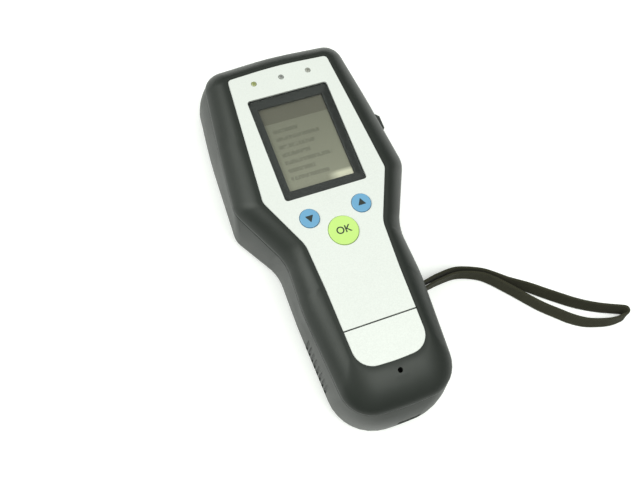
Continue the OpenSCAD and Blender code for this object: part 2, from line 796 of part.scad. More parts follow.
// Sampling pump: a solenoid coil in its bracket, with a bellows head and a nozzle.
pump_at = [-15, 46];
pump_width = 20;
pump_length = 30;
pump_base = 3;
pump_coil_r = 7;
pump_plates = [-9.5, 12];
pump_plate = 1.5;
pump_plate_half = 8;
pump_coil_z = floor_wall + pump_base + pump_coil_r - 1;
pump_nozzle_at = [pump_at.x + 3, pump_at.y - 12];
pump_nozzle_top = pump_coil_z + 5;
module sampling_pump() {
  color([0.55, 0.57, 0.6])
    union() {
      block(pump_at.x - pump_width / 2, pump_at.x + pump_width / 2, pump_at.y - pump_length / 2,
            pump_at.y + pump_length / 2, floor_wall, floor_wall + pump_base);
      translate([pump_at.x, pump_at.y + pump_plates[0], pump_coil_z])
        rotate([-90, 0, 0])
          cylinder(r = pump_coil_r, h = pump_plates[1] - pump_plates[0]);
      for (y = pump_plates)
        block(pump_at.x - pump_plate_half, pump_at.x + pump_plate_half, pump_at.y + y,
              pump_at.y + y + pump_plate, floor_wall, pump_coil_z + pump_coil_r + 0.6);
      block(pump_nozzle_at.x - 3, pump_nozzle_at.x + 3, pump_nozzle_at.y - 2.5, pump_nozzle_at.y + 3,
            floor_wall, pump_coil_z + 1);
      disc(pump_nozzle_at.x, pump_nozzle_at.y, nozzle_r, pump_coil_z, pump_nozzle_top);
    }
}

module breath_port() {
  color([0.3, 0.3, 0.32])
    translate([0, channel_y, 0])
      rotate_extrude()
        polygon([[port_r, channel_depth + 0.1], [port_r + port_wall, channel_depth + 0.1],
                 [port_r + port_wall, channel_depth + crown_wall],
                 [port_r + port_wall + 1.6, channel_depth + crown_wall],
                 [port_r + port_wall + 1.6, port_foot], [inlet_r, port_foot], [inlet_r, port_top],
                 [port_r, port_top]]);
}

// A soft hose, pushed over a nozzle at each end: straight on the nozzles, and curved between them.
hose_sides = 8;
hose_steps = 12;
hose_wall = 0.9;
hose_grip = min(2.5, (port_top - port_foot) / 2);
hose_lead = 0.6;
module hose(points, nozzle) {
  inside = (nozzle + tiny) / cos(180 / hose_sides);
  across = [points[0].y - points[3].y, points[3].x - points[0].x, 0];
  down = [0, 0, hose_grip + hose_lead];
  bend = [for (k = [0:hose_steps]) bezier(points, k / hose_steps)];
  path = concat([points[0] - down], bend, [points[3] - down]);
  past = concat([points[0] - 2 * down], bend, [points[3] - 2 * down]);
  difference() {
    sweep(path, [for (p = path) across], round_section(inside + hose_wall, hose_sides));
    sweep(past, [for (p = past) across], round_section(inside, hose_sides));
  }
}

module breath_tube() {
  port_end = port_top + hose_lead;
  inlet_end = nozzle_top + hose_lead;
  color([0.85, 0.85, 0.82, 0.8])
    hose([[0, channel_y, port_end], [0, channel_y, port_end + 11], [inlet_at.x, inlet_at.y, inlet_end + 11],
          [inlet_at.x, inlet_at.y, inlet_end]], inlet_r);
}

module sample_tube() {
  outlet_end = nozzle_top + hose_lead;
  pump_end = pump_nozzle_top + hose_lead;
  color([0.85, 0.85, 0.82, 0.8])
    hose([[outlet_at.x, outlet_at.y, outlet_end], [outlet_at.x, outlet_at.y, outlet_end + 8],
          [pump_nozzle_at.x, pump_nozzle_at.y, pump_end + 8],
          [pump_nozzle_at.x, pump_nozzle_at.y, pump_end]], nozzle_r);
}

pressure_at = [-14, channel_y - 11];
pressure_half = 5;
pressure_height = 4.4;
pressure_nozzle = 3.1;
module pressure_sensor() {
  foot = board_back - pressure_height;
  color([0.15, 0.15, 0.17])
    union() {
      block(pressure_at.x - pressure_half, pressure_at.x + pressure_half, pressure_at.y - pressure_half,
            pressure_at.y + pressure_half, foot, board_back);
      disc(pressure_at.x, pressure_at.y, nozzle_r, foot - pressure_nozzle, foot + 1);
    }
}

module battery_tray() {
  color([0.13, 0.13, 0.14])
    difference() {
      block(-bay_half - tray_wall, bay_half + tray_wall, bay_tail - tray_wall, bay_top + tray_wall,
            tray_foot, tray_ceiling + tray_wall);
      block(-bay_half, bay_half, bay_tail, bay_top, tray_foot - 1, tray_ceiling);
      for (side = [-1, 1])
        block(side * cell_d / 2 - 3, side * cell_d / 2 + 3, bay_tail + 12, bay_top - 12, 0, far);
    }
}

// Two cells side by side, with their nubs towards the head.
cell_x = cell_d / 2 + 0.2;
cell_nub = 1.2;
cell_nub_r = 2.6;
cell_edge = 0.6;
contact_thick = 0.6;
contact_half = 5.5;
cell_tail = bay_top - contact_thick - cell_nub - cell_length + cell_nub;
module cell(x) {
  translate([x, cell_tail + cell_length / 2, cell_z])
    rotate([-90, 0, 0])
      translate([0, 0, -cell_length / 2])
        rotate_extrude()
          polygon([[0, 0], [cell_d / 2 - cell_edge, 0], [cell_d / 2, cell_edge],
                   [cell_d / 2, cell_length - cell_nub - cell_edge],
                   [cell_d / 2 - cell_edge, cell_length - cell_nub], [cell_nub_r, cell_length - cell_nub],
                   [cell_nub_r, cell_length], [0, cell_length]]);
}

module battery_cells() {
  color([0.72, 0.55, 0.25])
    for (side = [-1, 1])
      cell(side * cell_x);
}

spring_r = 3.2;
spring_wire = 0.4;
module battery_springs() {
  gap = cell_tail - bay_tail - contact_thick;
  color([0.8, 0.8, 0.82])
    for (side = [-1, 1])
      translate([side * cell_x, bay_tail + contact_thick, cell_z])
        rotate([-90, 0, 0])
          coil(spring_r, spring_wire, gap, 3);
}

module battery_contacts() {
  color([0.8, 0.8, 0.82])
    for (side = [-1, 1], y = [bay_tail, bay_top - contact_thick])
      block(side * cell_x - contact_half, side * cell_x + contact_half, y, y + contact_thick,
            cell_z - contact_half, cell_z + contact_half);
}

// The door runs out over the tail, so its end takes the rounded shape of the shell.
groove_count = 5;
groove_half = 8;
groove_width = 1.2;
groove_pitch = 2.4;
groove_depth = 0.7;
groove_start = 6.8;
module battery_door() {
  color([0.18, 0.19, 0.2])
    difference() {
      intersection() {
        door_runner(0, door_top);
        rear_outside();
      }
      for (k = [0:groove_count - 1])
        let (y = door_top - groove_start - groove_pitch * k)
          block(-groove_half, groove_half, y - groove_width, y, -1, groove_depth);
    }
}

module case_screws() {
  color([0.35, 0.35, 0.37])
    for (p = case_screws_at)
      translate([p.x, p.y, 0])
        difference() {
          rotate_extrude()
            polygon([[0, case_head_z], [case_head_r - 0.4, case_head_z], [case_head_r, case_head_z + 0.5],
                     [case_head_r, case_head_z + case_head_h], [screw_r, case_head_z + case_head_h],
                     [screw_r, case_tip_z - 0.6], [screw_r - 0.5, case_tip_z], [0, case_tip_z]]);
          for (turn = [0, 90])
            rotate([0, 0, turn])
              block(-1.3, 1.3, -0.3, 0.3, 0, case_head_z + 0.9);
        }
}

// A thumb tab that comes through the side of the head, with the flange that keeps it in.
catch_tip = catch_side + catch_proud;
catch_back = catch_inner - catch_flange - 0.4;
catch_coil_r = 2.4;
catch_wire = 0.35;
catch_chamfer = 2.4;
module mouthpiece_catch() {
  color([0.14, 0.15, 0.16])
    union() {
      difference() {
        block(catch_back, catch_tip, catch_y - catch_length / 2, catch_y + catch_length / 2,
              catch_z - catch_height / 2, catch_z + catch_height / 2);
        for (side = [-1, 1])
          translate([catch_tip, catch_y + side * catch_length / 2, 0])
            rotate([0, 0, 45])
              cube([catch_chamfer, catch_chamfer, far], center = true);
      }
      block(catch_back, catch_back + catch_flange, catch_y - catch_flange_half, catch_y + catch_flange_half,
            catch_z - catch_flange_high, catch_z + catch_flange_high);
    }
}

module catch_spring() {
  x0 = catch_rib_x + catch_rib;
  color([0.8, 0.8, 0.82])
    translate([x0, catch_y, catch_z])
      rotate([0, 90, 0])
        coil(catch_coil_r, catch_wire, catch_back - x0, 4);
}

module strap_pin() {
  color([0.8, 0.8, 0.82])
    disc(anchor_x, strap_y, strap_pin_r, anchor_floor, anchor_high + anchor_wall);
}

module wrist_strap() {
  half_w = strap_width / 2;
  half_t = strap_thick / 2;
  bevel = strap_thick / 4;
  section = [[half_t, -half_w + bevel], [half_t, half_w - bevel], [half_t - bevel, half_w],
             [-half_t + bevel, half_w], [-half_t, half_w - bevel], [-half_t, -half_w + bevel],
             [-half_t + bevel, -half_w], [half_t - bevel, -half_w]];
  color([0.12, 0.11, 0.1])
    sweep([for (p = strap_route) [p[0], p[1], p[2]]],
          [for (p = strap_route) [p[3] * strap_lean.x, p[3] * strap_lean.y, 1]], section);
}

front_shell();
rear_shell();
shell_gasket();
front_panel();
tail_panel();
display_window();
display_mask();
lcd_module();
light_pipe_left();
light_pipe_middle();
light_pipe_right();
key_down();
key_up();
key_ok();
key_dome_down();
key_dome_up();
key_dome_ok();
main_board();
status_lamps();
board_screws();
sounder();
data_socket();
sensor_module();
sampling_pump();
breath_port();
breath_tube();
sample_tube();
pressure_sensor();
battery_tray();
battery_cells();
battery_springs();
battery_contacts();
battery_door();
case_screws();
mouthpiece_catch();
catch_spring();
strap_pin();
wrist_strap();
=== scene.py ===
# %% [markdown]
# A hand-held breath tester, dressed for its portrait. The rigid solids come packed from the
# drawing, so this lesson starts by loading them.

# %% Load the imported solids
import json
import math

import bmesh
import bpy
from mathutils import Matrix, Vector


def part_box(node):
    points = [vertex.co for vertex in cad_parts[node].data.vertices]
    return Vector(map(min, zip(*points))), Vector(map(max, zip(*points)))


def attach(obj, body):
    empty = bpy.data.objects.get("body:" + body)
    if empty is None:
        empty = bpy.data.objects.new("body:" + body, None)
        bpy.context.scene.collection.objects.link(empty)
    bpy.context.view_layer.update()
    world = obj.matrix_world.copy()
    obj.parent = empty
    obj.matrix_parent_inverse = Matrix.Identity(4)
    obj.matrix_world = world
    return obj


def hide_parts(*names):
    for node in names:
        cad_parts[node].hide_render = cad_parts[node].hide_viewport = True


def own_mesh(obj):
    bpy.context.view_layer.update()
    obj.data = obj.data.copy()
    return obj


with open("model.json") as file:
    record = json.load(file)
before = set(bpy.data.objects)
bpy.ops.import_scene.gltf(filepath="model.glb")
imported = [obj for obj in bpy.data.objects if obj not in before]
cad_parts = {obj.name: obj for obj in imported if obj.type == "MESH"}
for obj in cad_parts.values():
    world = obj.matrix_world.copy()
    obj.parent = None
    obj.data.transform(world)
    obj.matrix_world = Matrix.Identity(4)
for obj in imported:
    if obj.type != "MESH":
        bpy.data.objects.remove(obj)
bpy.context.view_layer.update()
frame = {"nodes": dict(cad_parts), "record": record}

mm = 0.001
nodes = frame["nodes"]

# %% [markdown]
# The camera comes first, because everything after is judged through it. The tester lies on its
# back, and the camera stands over its tail, turned so that the head leans to the left. A camera
# can be aimed by a constraint, but three directions written out keep a fitted view exactly: the
# picture's right, its up, and the way back from the object to the lens. Such a matrix, three
# directions and an origin, comes again for the strap, so a helper makes it.

# %% Camera
scene = bpy.context.scene
right = (0.926, -0.3537, 0.1317)
up = (0.2884, 0.8882, 0.3575)
back = (-0.2434, -0.2931, 0.9246)
stand = (-0.10715, -0.12218, 0.40047)


def placed(x_axis, y_axis, z_axis, origin):
    columns = (x_axis, y_axis, z_axis, origin)
    return Matrix([[column[i] for column in columns] for i in range(3)] + [[0, 0, 0, 1]])


lens = bpy.data.cameras.new("portrait_lens")
lens.sensor_width = 36
lens.lens = 50.625
lens.clip_start = 0.01
camera = bpy.data.objects.new("portrait_camera", lens)
camera.matrix_world = placed(right, up, back, stand)
scene.collection.objects.link(camera)
scene.camera = camera
print("camera stands", round(Vector(stand).length, 3), "m away")

# %% [markdown]
# Materials are built from nodes. A socket wrapped in this small class can be used in ordinary
# arithmetic, and each operation adds one Math node, so a pattern reads as a formula.

# %% Wires
class Wire:
    def __init__(self, tree, socket):
        self.tree, self.socket = tree, socket

    def math(self, operation, first, second=None):
        node = self.tree.nodes.new("ShaderNodeMath")
        node.operation = operation
        for socket, value in zip(node.inputs, (first, second)):
            if isinstance(value, Wire):
                self.tree.links.new(value.socket, socket)
            elif value is not None:
                socket.default_value = value
        return Wire(self.tree, node.outputs[0])

    def __add__(self, other): return self.math("ADD", self, other)
    def __radd__(self, other): return self.math("ADD", other, self)
    def __sub__(self, other): return self.math("SUBTRACT", self, other)
    def __rsub__(self, other): return self.math("SUBTRACT", other, self)
    def __mul__(self, other): return self.math("MULTIPLY", self, other)
    def __rmul__(self, other): return self.math("MULTIPLY", other, self)
    def __truediv__(self, other): return self.math("DIVIDE", self, other)
    def __gt__(self, other): return self.math("GREATER_THAN", self, other)
    def __lt__(self, other): return self.math("LESS_THAN", self, other)
    def sine(self): return self.math("SINE", self)
    def fraction(self): return self.math("FRACT", self)
    def floor(self): return self.math("FLOOR", self)
    def least(self, other): return self.math("MINIMUM", self, other)
    def most(self, other): return self.math("MAXIMUM", self, other)


print("wires are ready")

# %% [markdown]
# A finish holds one Principled shader. Its node method adds any other node: the settings go in
# first, because they can change the sockets, then the values or links. The Mix node has sockets
# of the same name for every kind of data, so those for colours are known by their number.

# %% Finishes
mix_share, mix_first, mix_second, mix_result = 0, 6, 7, 2


class Finish:
    def __init__(self, name, **constants):
        self.material = bpy.data.materials.new(name)
        self.material.use_nodes = True
        self.tree = self.material.node_tree
        self.shader = self.tree.nodes["Principled BSDF"]
        for socket, value in constants.items():
            self.shader.inputs[socket.replace("_", " ")].default_value = value

    def node(self, kind, sockets=None, out=0, **settings):
        node = self.tree.nodes.new("ShaderNode" + kind)
        for name, value in settings.items():
            setattr(node, name, value)
        for name, value in (sockets or {}).items():
            if isinstance(value, Wire):
                self.tree.links.new(value.socket, node.inputs[name])
            else:
                node.inputs[name].default_value = value
        return Wire(self.tree, node.outputs[out])

    def place(self):
        return self.node("TexCoord", out="Object")

    def split(self, vector):
        parts = self.tree.nodes.new("ShaderNodeSeparateXYZ")
        self.tree.links.new(vector.socket, parts.inputs[0])
        return [Wire(self.tree, socket) for socket in parts.outputs]

    def noise(self, scale, detail, vector=None):
        sockets = {"Vector": vector or self.place(), "Scale": scale, "Detail": detail}
        return self.node("TexNoise", sockets)

    def streaks(self, scales, detail):
        stretched = self.node("Mapping", {"Vector": self.place(), "Scale": scales})
        return self.noise(1.0, detail, stretched)

    def mix(self, share, first, second):
        sockets = {mix_share: share, mix_first: first, mix_second: second}
        return self.node("Mix", sockets, out=mix_result, data_type="RGBA")

    def bump(self, height, depth, strength):
        sockets = {"Height": height, "Distance": depth, "Strength": strength}
        return self.feed(Normal=self.node("Bump", sockets))

    def feed(self, **links):
        for socket, wire in links.items():
            self.tree.links.new(wire.socket, self.shader.inputs[socket.replace("_", " ")])
        return self


def shade(colour, times):
    return (*[c * times for c in colour], 1)


print("finishes are ready")

# %% [markdown]
# The wrist strap is a flat woven band, about seven millimetres wide, that runs out from a pin in
# the handle's side and back again. It lies on the table on its edge, as soft webbing does when it
# is folded in two. A cloth simulation could drop it there, but a written route falls the same way
# every time. It repeats the drawing's points: x, y, z and how far the band leans over. A smooth
# curve through these points gives as many stations as are asked for.

# %% Strap route
route = [
    (22.55, -36.7, 11, 0), (23, -35.8, 11, 0), (24.2, -35.3, 11, 0), (27, -35.3, 11, 0),
    (31, -34.6, 10.4, 0.05), (36, -33.4, 8.8, 0.1), (43, -32, 6.4, 0.18), (52, -31.3, 4.4, 0.22),
    (59, -33, 3.7, 0.22), (66, -36.3, 3.7, 0.25), (71, -40.1, 3.7, 0.28), (75.5, -43.9, 3.7, 0.3),
    (79, -46.3, 3.7, 0.3), (85, -50.5, 3.6, 0.35), (91, -55.3, 3.6, 0.38), (97, -60, 3.6, 0.4),
    (103, -64.5, 3.6, 0.4), (109, -68.3, 3.6, 0.4), (115.5, -71.7, 3.6, 0.4),
    (122, -74.5, 3.6, 0.4), (125.4, -76, 3.6, 0.4), (126.4, -77.2, 3.6, 0.4),
    (126, -78.6, 3.6, 0.4), (124, -79.5, 3.6, 0.4), (118, -79.6, 3.6, 0.4),
    (112, -78.3, 3.6, 0.4), (105, -75.8, 3.6, 0.4), (98.8, -71.9, 3.6, 0.4),
    (93.2, -67, 3.6, 0.38), (87.4, -61.7, 3.6, 0.35), (82.3, -56.1, 3.6, 0.32),
    (77.2, -50.2, 3.7, 0.3), (73.7, -46.3, 3.7, 0.3), (69.6, -41.9, 3.7, 0.28),
    (65, -38.1, 3.7, 0.25), (58.5, -35.1, 3.7, 0.22), (52, -33.8, 4.4, 0.22),
    (43.3, -34.6, 6.4, 0.18), (36.4, -36, 8.8, 0.1), (31, -37.4, 10.4, 0.05),
    (27, -38.7, 11, 0), (24.2, -38.7, 11, 0), (23, -38.2, 11, 0), (22.55, -37.3, 11, 0)]
knots = [Vector(p) for p in route]
path_steps = 4


def between(k, t):
    a, b, c, d = (knots[max(0, min(len(knots) - 1, k + i))] for i in (-1, 0, 1, 2))
    return 0.5 * (2 * b + (c - a) * t + (2 * a - 5 * b + 4 * c - d) * t ** 2
                  + (3 * b - 3 * c + d - a) * t ** 3)


def stations(steps):
    spans = range(len(knots) - 1)
    return [between(k, s / steps) for k in spans for s in range(steps)] + [knots[-1]]


strap_path = [Vector(p[:3]) * mm for p in stations(path_steps)]
strap_length = sum((b - a).length for a, b in zip(strap_path, strap_path[1:]))
print("strap is", round(strap_length, 4), "m long from end to end")

# %% [markdown]
# A flat band could be a curve with a bevel, but then its weave would only be painted on. Here the
# route is cut into even rows, one for each thread of weft, and every row has a frame of its own:
# the flat side, the wide side and the way ahead. The section lists its points with the yarn that
# runs through each of them, so that a yarn can rise on one row and dip on the next.

# %% Strap rows
half_width, half_thick = 3.5 * mm, 0.6 * mm
edge_thick = 0.4 * half_thick
selvedge, sunk = 2.9 * mm, 0.15 * mm
warp, yarns, crown = 0.55 * mm, 9, 0.3
weft_aim, row_steps = 0.45 * mm, 16
lean_x, lean_y = 0.65, 0.75
half = [(edge_thick, -half_width, None), (half_thick, -selvedge, None)]
half += [(half_thick - sunk, (k - yarns // 2) * warp, k) for k in range(yarns)]
half += [(half_thick, selvedge, None), (edge_thick, half_width, None)]
section = half + [(-x, y, yarn) for x, y, yarn in reversed(half)]

fine = stations(row_steps)
reach = [0.0]
for a, b in zip(fine, fine[1:]):
    reach.append(reach[-1] + (b - a).to_3d().length * mm)
last_row = round(reach[-1] / weft_aim)
weft = reach[-1] / last_row
rows, k = [], 0
for row in range(last_row + 1):
    while k < len(fine) - 2 and reach[k + 1] < row * weft:
        k += 1
    share = (row * weft - reach[k]) / (reach[k + 1] - reach[k])
    rows.append(fine[k].lerp(fine[k + 1], share))


def row_frame(k):
    before, here, after = (rows[max(0, min(last_row, k + i))] for i in (-1, 0, 1))
    ahead = (after - before).to_3d().normalized()
    wide = Vector((lean_x * here.w, lean_y * here.w, 1))
    wide = (wide - ahead * wide.dot(ahead)).normalized()
    return placed(wide.cross(ahead), wide, ahead, [c * mm for c in here])


def row_point(frame_of_row, k, x, y, yarn):
    swell = 1 if yarn is None else 1 + crown * (-1) ** (yarn + k)
    return frame_of_row @ Vector((x * swell, y, 0))


print("strap has", len(rows), "rows of", len(section), "points")

# %% [markdown]
# The band itself is extruded. One loop of edges starts at the pin, and each step extrudes it and
# sets the new loop into the next row's frame. That keeps the band one closed mesh, which a row of
# separate threads would not. The distance along the band and the place across it are kept as a
# UV map, so that the colours can follow the weave round its bends.

# %% Strap band
def piece(name, bm, body, sharp=35):
    mesh = bpy.data.meshes.new(name)
    bm.to_mesh(mesh)
    bm.free()
    mesh.shade_smooth()
    mesh.set_sharp_from_angle(angle=math.radians(sharp))
    made = bpy.data.objects.new(name, mesh)
    scene.collection.objects.link(made)
    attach(made, body)
    return made


bm = bmesh.new()
frame_of_row = row_frame(0)
loop = [bm.verts.new(row_point(frame_of_row, 0, *point)) for point in section]
thread = dict(zip(loop, section))
travelled = {v: 0.0 for v in loop}
edges = [bm.edges.new((a, b)) for a, b in zip(loop, loop[1:] + loop[:1])]
first_edges = list(edges)
for k in range(1, last_row + 1):
    made = bmesh.ops.extrude_edge_only(bm, edges=edges)["geom"]
    fresh = {v for v in made if isinstance(v, bmesh.types.BMVert)}
    edges = [e for e in made if isinstance(e, bmesh.types.BMEdge) and set(e.verts) <= fresh]
    frame_of_row = row_frame(k)
    for v in fresh:
        old = next(e.other_vert(v) for e in v.link_edges if e.other_vert(v) not in fresh)
        thread[v], travelled[v] = thread[old], k * weft
        v.co = row_point(frame_of_row, k, *thread[v])
bmesh.ops.edgeloop_fill(bm, edges=first_edges)
bmesh.ops.edgeloop_fill(bm, edges=edges)
bmesh.ops.recalc_face_normals(bm, faces=bm.faces)
weave_map = bm.loops.layers.uv.new("weave")
for face in bm.faces:
    for corner in face.loops:
        corner[weave_map].uv = (travelled[corner.vert], thread[corner.vert][1])
strap = piece("strap_band", bm, "housing", sharp=80)
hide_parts("wrist_strap")
print("strap band has", len(strap.data.polygons), "faces")

# %% [markdown]
# Webbing shows two things: threads of weft across the band, and yarns of warp that dip under them
# by turns. On the band's own map that is the product of two sine waves, with a crest on every
# crown, so the colour falls just where the shape rises. The yarns are near black, and the crowns
# that rub are a little browner and smoother. Only the fuzz is left to bump.

# %% Woven webbing
webbing = Finish("woven_webbing", Sheen_Weight=0.08, Specular_IOR_Level=0.2)
along, side, _ = webbing.split(webbing.node("UVMap", uv_map="weave"))
quarter = math.pi / 2
weft_wave = (along * (math.pi / weft) + quarter).sine()
warp_wave = (side * (math.pi / warp) + quarter).sine()
weave = weft_wave * warp_wave * 0.5 + 0.5
fuzz = webbing.noise(2600, 3)
worn = webbing.noise(90, 2)
yarn_black, crown_brown = (0.016, 0.0155, 0.009, 1), (0.052, 0.049, 0.03, 1)
webbing.feed(Base_Color=webbing.mix(weave * 0.6 + worn * 0.4, yarn_black, crown_brown),
             Roughness=0.95 - weave * 0.2)
webbing.bump(fuzz, 0.1 * mm, 0.6)
strap.data.materials.append(webbing.material)
print("webbing has", last_row, "threads of weft,", round(1000 * weft, 3), "mm apart")

# %% [markdown]
# Most rigid pieces keep their drawn shape. What a drawing lacks is the small round on every
# moulded edge, which catches the light. Each solid is copied, its loose triangles are merged and
# its flats dissolved, and then a fine bevel with weighted normals rounds the edges while the
# faces stay flat. A bevel node in the material would look alike from afar, but its rounds would
# be missing from the shape itself.

# %% Rounded copies of the solids
members_of_body = frame["record"]["behaviour"]["bodies"]
body_of_node = {n: body for body, members in members_of_body.items() for n in members}
weld, flat_angle = 1e-6, math.radians(0.4)


def rounded(node, finish, edge, angle=32):
    bm = bmesh.new()
    bm.from_mesh(nodes[node].data)
    bmesh.ops.remove_doubles(bm, verts=bm.verts, dist=weld)
    bmesh.ops.dissolve_limit(bm, angle_limit=flat_angle, verts=bm.verts, edges=bm.edges)
    copy = piece(node + "_moulded", bm, body_of_node[node], sharp=angle)
    copy.data.materials.clear()
    copy.data.materials.append(finish.material)
    bevel = copy.modifiers.new("edge_round", "BEVEL")
    bevel.width, bevel.segments, bevel.limit_method = edge * mm, 2, "ANGLE"
    bevel.angle_limit = math.radians(angle)
    bevel.miter_outer = "MITER_ARC"
    normals = copy.modifiers.new("flat_faces", "WEIGHTED_NORMAL")
    normals.keep_sharp = True
    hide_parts(node)
    return copy


def painted(node, finish):
    nodes[node].data.materials.clear()
    nodes[node].data.materials.append(finish.material)


print("rounding and painting are ready")

# %% [markdown]
# The shells are soft-touch plastic: dark grey, almost without gloss, with a fine spark-eroded
# grain. Handling polishes it in cloudy patches, so the roughness and the tone drift slowly over
# the surface. The same recipe with other colours and grains serves every moulded piece. The grain
# is far too fine to model, so it is bump. Sizes of grain and depth are in millimetres.

# %% Moulded plastic
def moulded(name, colour, rough, grain=0.25, depth=0.03, drift=0.12, gloss=0.5):
    made = Finish(name, Specular_IOR_Level=gloss)
    cloud = made.noise(38, 3)
    fine_grain = made.noise(1000 / grain, 2)
    made.feed(Base_Color=made.mix(cloud, shade(colour, 1 - drift), shade(colour, 1 + drift)),
              Roughness=rough - 0.1 + cloud * 0.2)
    return made.bump(fine_grain, depth * mm, 0.6)


shell_finish = moulded("soft_touch_shell", (0.0135, 0.0165, 0.014), 0.42, grain=0.3, gloss=0.36)
for node in ("front_shell", "rear_shell"):
    rounded(node, shell_finish, edge=0.3)
rounded("battery_door", shell_finish, edge=0.15)
print("shells and door are moulded")

# %% [markdown]
# The front plate is a thin lacquered sheet. Its paint holds fine metal flakes, so it looks
# silver-white, with a grain that glints a little. The flakes are cells of a Voronoi pattern that
# differ slightly in tone. Plain noise would blur into clouds, while each cell has one tone, as a
# flake has.

# %% Silver-white lacquer
def lacquer(name, colour):
    made = Finish(name, Specular_IOR_Level=0.5)
    cells = {"Vector": made.place(), "Scale": 2600}
    sparkle, _, _ = made.split(made.node("TexVoronoi", cells, out="Color", feature="F1"))
    cloud = made.noise(60, 3)
    tone = sparkle * 0.7 + cloud * 0.3
    made.feed(Base_Color=made.mix(tone, shade(colour, 0.93), shade(colour, 1.05)),
              Roughness=0.36 + sparkle * 0.16, Metallic=sparkle * 0.2)
    return made.bump(sparkle, 0.01 * mm, 0.3)


rounded("front_panel", lacquer("front_lacquer", (0.7, 0.71, 0.7)), edge=0.18)
rounded("tail_panel", lacquer("tail_lacquer", (0.71, 0.72, 0.71)), edge=0.18)
print("front plate and tail tile are lacquered")

# %% [markdown]
# Three round keys sit in the plate, two blue ones for the menu and a green one to confirm. They
# are moulded in colour with a satin skin, so they take the recipe of the shells with a finer
# grain and less drift.

# %% Keys
blue_finish = moulded("blue_key", (0.135, 0.335, 0.55), 0.4, grain=0.12, depth=0.01, drift=0.05)
green_finish = moulded("green_key", (0.51, 0.73, 0.2), 0.4, grain=0.12, depth=0.01, drift=0.05)
key_finishes = {"key_down": blue_finish, "key_up": blue_finish, "key_ok": green_finish}
for node, finish in key_finishes.items():
    rounded(node, finish, edge=0.12)
print("keys in the plate:", len(key_finishes))

# %% [markdown]
# The keys' marks are printed on top: a triangle down, a triangle up, and the letters OK. Each one
# is a thin mesh of its own, half sunk into the key, because a mark in the key's material would
# blur in the export. The triangles start as three-cornered circles. The letters start as text and
# become a mesh, so that they ride on the key as any piece does.

# %% Key marks
print_finish = moulded("key_print", (0.014, 0.022, 0.02), 0.5, grain=0.1, depth=0.005)
mark_thick, mark_sunk = 0.06 * mm, 0.03 * mm
triangle_radius, triangle_corner = 2.2 * mm, 0.25 * mm
letter_size, letter_weight, letter_weld = 4.75 * mm, 0.07 * mm, 1e-7


def top_middle(node):
    low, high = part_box(node)
    return Vector(((low[0] + high[0]) / 2, (low[1] + high[1]) / 2, high[2]))


def key_triangle(node, turn):
    bm = bmesh.new()
    bmesh.ops.create_circle(bm, cap_ends=True, segments=3, radius=triangle_radius,
                            matrix=Matrix.Rotation(math.radians(turn), 4, "Z"))
    bmesh.ops.bevel(bm, geom=bm.verts[:], affect="VERTICES", offset=triangle_corner, segments=3,
                    profile=0.5, material=-1)
    made = bmesh.ops.extrude_face_region(bm, geom=bm.faces[:])["geom"]
    top = [v for v in made if isinstance(v, bmesh.types.BMVert)]
    bmesh.ops.translate(bm, vec=(0, 0, mark_thick), verts=top)
    bmesh.ops.recalc_face_normals(bm, faces=bm.faces)
    bmesh.ops.translate(bm, vec=top_middle(node) - Vector((0, 0, mark_sunk)), verts=bm.verts)
    mark = piece(node + "_mark", bm, node)
    mark.data.materials.append(print_finish.material)


key_triangle("key_down", 180)
key_triangle("key_up", 0)

words = bpy.data.curves.new("ok_words", "FONT")
words.body, words.size = "OK", letter_size
words.extrude, words.offset = mark_sunk, letter_weight
words.align_x, words.align_y = "CENTER", "CENTER"
draft = bpy.data.objects.new("ok_draft", words)
scene.collection.objects.link(draft)
bpy.context.view_layer.update()
bm = bmesh.new()
bm.from_mesh(draft.to_mesh())
bpy.data.objects.remove(draft)
bmesh.ops.remove_doubles(bm, verts=bm.verts, dist=letter_weld)
bmesh.ops.translate(bm, vec=top_middle("key_ok"), verts=bm.verts)
letters = piece("key_ok_mark", bm, "key_ok")
letters.data.materials.append(print_finish.material)
print("keys carry", len(letters.data.polygons), "letter faces and two triangles")

# %% [markdown]
# The display is a module with a shallow recess. Its picture is a thin sheet that lies in this
# recess, below the clear window, as the glass of a real one does. A sheet of its own has room for
# a material with rows, while the module round it stays plain.

# %% Display sheet
low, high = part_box("lcd_module")
screen_half = Vector((15.6, 22.1)) * mm
screen_sunk, screen_thick = 0.26 * mm, 0.08 * mm
screen_middle = Vector(((low[0] + high[0]) / 2, (low[1] + high[1]) / 2, high[2] - screen_sunk))
bm = bmesh.new()
bmesh.ops.create_grid(bm, x_segments=8, y_segments=12, size=1,
                      matrix=Matrix.Diagonal((screen_half.x, screen_half.y, 1, 1)))
bmesh.ops.translate(bm, vec=screen_middle, verts=bm.verts)
bmesh.ops.solidify(bm, geom=bm.faces[:], thickness=screen_thick)
picture = piece("display_picture", bm, "housing")
painted("lcd_module", moulded("display_frame", (0.05, 0.05, 0.048), 0.45))
print("display picture is", [round(2000 * s, 1) for s in screen_half], "mm")
